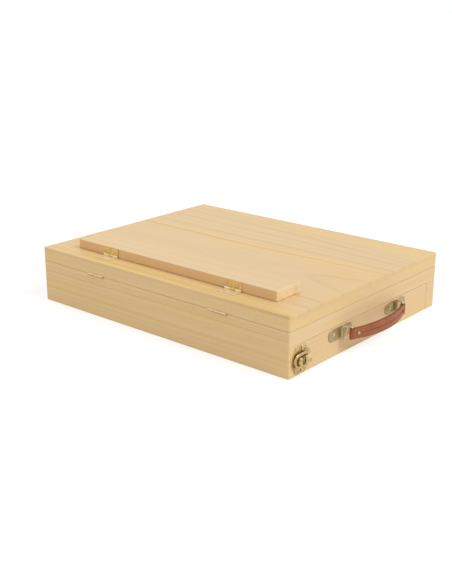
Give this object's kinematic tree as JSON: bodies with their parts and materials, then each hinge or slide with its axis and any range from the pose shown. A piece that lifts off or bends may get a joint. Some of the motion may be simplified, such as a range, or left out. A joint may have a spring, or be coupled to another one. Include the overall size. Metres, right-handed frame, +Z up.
{
  "type": "table box easel",
  "caption": "Flat wooden sketch box with a hinged lid that props up as a table easel, a fold-up canvas ledge, a side drawer, a toggle latch and a leather carrying handle",
  "frame": {"origin": "centre of the underside of the box, on the surface it rests on", "axes": "+X along the long side towards the drawer and handle, +Y from the lid's hinges to the back, +Z up"},
  "size_m": [0.3574, 0.2622, 0.07],
  "materials": {
    "pine": "clear satin",
    "ledge_wood": "clear satin",
    "plywood": "sanded",
    "brass": "polished",
    "aged_brass": "aged satin",
    "leather": "waxed"
  },
  "bodies": {
    "base": {"front_wall_upper": "pine", "front_wall_lower": "pine", "back_wall_upper": "pine", "back_wall_lower": "pine", "left_wall_upper": "pine", "left_wall_lower": "pine", "right_rail": "pine", "bottom_panel": "plywood", "tray_floor": "plywood", "drawer_guide_front": "pine", "drawer_guide_back": "pine", "rack_left": "pine", "rack_right": "pine", "lid_hinge_base_leaves": "brass", "lid_hinge_pins": "brass", "lid_hinge_base_screws": "brass", "latch_strike": "aged_brass", "latch_strike_screws": "aged_brass"},
    "lid": {"lid_front_rail": "pine", "lid_back_rail": "pine", "lid_left_rail": "pine", "lid_right_rail": "pine", "lid_panel": "pine", "lid_hinge_lid_leaves": "brass", "lid_hinge_lid_screws": "brass", "ledge_hinge_lid_leaves": "brass", "ledge_hinge_pins": "brass", "ledge_hinge_lid_screws": "brass", "prop_lugs": "pine", "prop_pins": "brass"},
    "ledge": {"ledge_board": "ledge_wood", "ledge_hinge_ledge_leaves": "brass", "ledge_hinge_ledge_screws": "brass"},
    "prop": {"prop_arm_left": "pine", "prop_arm_right": "pine", "prop_foot_bar": "pine"},
    "drawer": {"drawer_front": "pine", "drawer_side_front": "pine", "drawer_side_back": "pine", "drawer_end": "pine", "drawer_bottom": "plywood", "drawer_long_divider": "pine", "drawer_cross_divider_left": "pine", "drawer_cross_divider_right": "pine", "handle_plates": "aged_brass", "handle_screws": "aged_brass", "latch_plate": "aged_brass", "latch_pin": "aged_brass", "latch_plate_screws": "aged_brass"},
    "latch_lever": {"latch_lever": "aged_brass", "latch_ring_pin": "aged_brass"},
    "latch_ring": {"latch_ring": "aged_brass"},
    "handle_front_loop": {"handle_loop_front": "aged_brass"},
    "handle_back_loop": {"handle_loop_back": "aged_brass"},
    "handle_strap": {"handle_strap": "leather", "handle_rivets": "brass"}
  },
  "joints": [
    {"name": "lid_hinge", "type": "hinge", "parent": "base", "child": "lid", "pos_m": [0, -0.1312, 0.04513], "axis": [1, 0, 0], "range_deg": [0, 60]},
    {"name": "prop_hinge", "type": "hinge", "parent": "lid", "child": "prop", "pos_m": [0, -0.01, 0.051], "axis": [1, 0, 0], "range_deg": [-125.5, 0]},
    {"name": "ledge_hinge", "type": "hinge", "parent": "lid", "child": "ledge", "pos_m": [0, -0.1078, 0.0615], "axis": [1, 0, 0], "range_deg": [0, 90]},
    {"name": "drawer_slide", "type": "slide", "parent": "base", "child": "drawer", "axis": [1, 0, 0], "range_m": [0, 0.22]},
    {"name": "latch_lever_hinge", "type": "hinge", "parent": "drawer", "child": "latch_lever", "pos_m": [0.1705, -0.1114, 0.0152], "axis": [0, 0, -1], "range_deg": [0, 100]},
    {"name": "latch_ring_hinge", "type": "hinge", "parent": "latch_lever", "child": "latch_ring", "pos_m": [0.1705, -0.108, 0.0152], "axis": [0, 0, -1], "range_deg": [-125.1, 0]},
    {"name": "handle_swing", "type": "hinge", "parent": "drawer", "child": "handle_front_loop", "pos_m": [0.1699, -0.0504, 0.0226], "axis": [0, 0, 1], "range_deg": [-20, 20]},
    {"name": "handle_back_swing", "type": "hinge", "parent": "drawer", "child": "handle_back_loop", "pos_m": [0.1699, 0.0478, 0.0226], "axis": [0, 0, 1], "range_deg": [-20.1, 20.1]},
    {"name": "handle_strap_hinge", "type": "hinge", "parent": "handle_front_loop", "child": "handle_strap", "pos_m": [0.17905, -0.0469, 0.0226], "axis": [0, 0, 1], "range_deg": [-21.6, 21.6]}
  ],
  "couplings": [
    {"joint": "prop_hinge", "follows": "lid_hinge", "ratio": -2.09},
    {"joint": "latch_ring_hinge", "follows": "latch_lever_hinge", "ratio": -1.25},
    {"joint": "handle_back_swing", "follows": "handle_swing", "ratio": 1},
    {"joint": "handle_strap_hinge", "follows": "handle_swing", "ratio": -1.075}
  ]
}
